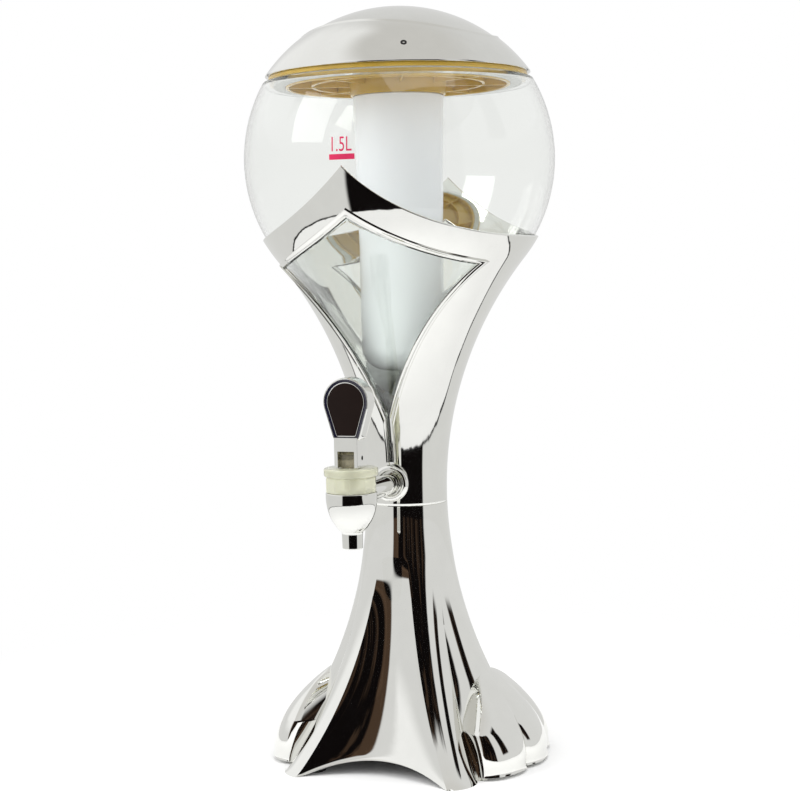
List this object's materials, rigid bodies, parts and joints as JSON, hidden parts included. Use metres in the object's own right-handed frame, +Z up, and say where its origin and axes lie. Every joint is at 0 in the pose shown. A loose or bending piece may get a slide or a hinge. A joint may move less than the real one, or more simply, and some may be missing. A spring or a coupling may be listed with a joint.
{
  "type": "beer tower dispenser",
  "caption": "Table drink tower: fluted chrome-look pedestal, clear globe in a windowed shroud, domed lid with a hanging ice tube, and a lever tap at the waist.",
  "frame": {"origin": "on the table under the tower's axis, at the centre of the underside's centre pad", "axes": "+Z up along the tower's axis, -Y towards the tap, +X to the right of someone who faces the tap"},
  "size_m": [0.1812, 0.1953, 0.44],
  "materials": {
    "chrome_plate": "bright chrome plating on moulded plastic",
    "clear_plastic": "clear moulded plastic, faint grey",
    "amber_plastic": "amber translucent plastic, glossy",
    "pale_plastic": "pale yellow-green translucent plastic",
    "smoky_plastic": "smoky translucent plastic",
    "milky_plastic": "milky bluish white translucent plastic",
    "dark_label": "near-black glossy inset, bare",
    "black_plastic": "matt black moulding",
    "black_rubber": "matt",
    "pale_rubber": "pale silicone",
    "steel": "plain stainless",
    "white_plastic": "plain"
  },
  "bodies": {
    "tower": {"base_shell": "chrome_plate", "bottom_plate": "black_plastic", "rubber_feet": "black_rubber", "centre_pad": "black_rubber", "plate_screws": "steel", "tie_washer": "steel", "tie_screw": "steel", "shroud": "chrome_plate", "container": "clear_plastic", "tap_body": "chrome_plate", "tap_flange": "chrome_plate", "tap_outer_washer": "black_rubber", "tap_inner_washer": "black_rubber", "tap_nut": "white_plastic", "tap_collar": "pale_plastic", "return_spring": "steel"},
    "plunger": {"tap_plunger": "smoky_plastic", "valve_seal": "black_rubber"},
    "lever": {"lever": "chrome_plate", "lever_label": "dark_label", "lever_pin": "steel"},
    "lid": {"lid_dome": "chrome_plate", "lid_vent": "black_rubber", "lid_gasket": "pale_rubber", "lid_liner": "amber_plastic"},
    "ice_tube": {"ice_tube": "milky_plastic", "ice_tube_oring": "pale_rubber"}
  },
  "joints": [
    {"name": "plunger_lift", "type": "slide", "parent": "tower", "child": "plunger", "axis": [0, 0, 1], "range_m": [0, 0.0034], "deforming": ["return_spring"]},
    {"name": "lever_tilt", "type": "hinge", "parent": "plunger", "child": "lever", "pos_m": [0, -0.088, 0.187], "axis": [1, 0, 0], "range_deg": [0, 35], "stiffness_Nm_per_rad": 0.25, "springref_deg": -17.19},
    {"name": "lid_lift", "type": "slide", "parent": "tower", "child": "lid", "axis": [0, 0, 1], "range_m": [0, 0.2]},
    {"name": "ice_tube_twist", "type": "hinge", "parent": "lid", "child": "ice_tube", "pos_m": [0, 0, 0.394], "axis": [0, 0, 1], "range_deg": [0, 90]}
  ],
  "couplings": [
    {"joint": "plunger_lift", "follows": "lever_tilt", "m_per_rad": 0.0051}
  ]
}
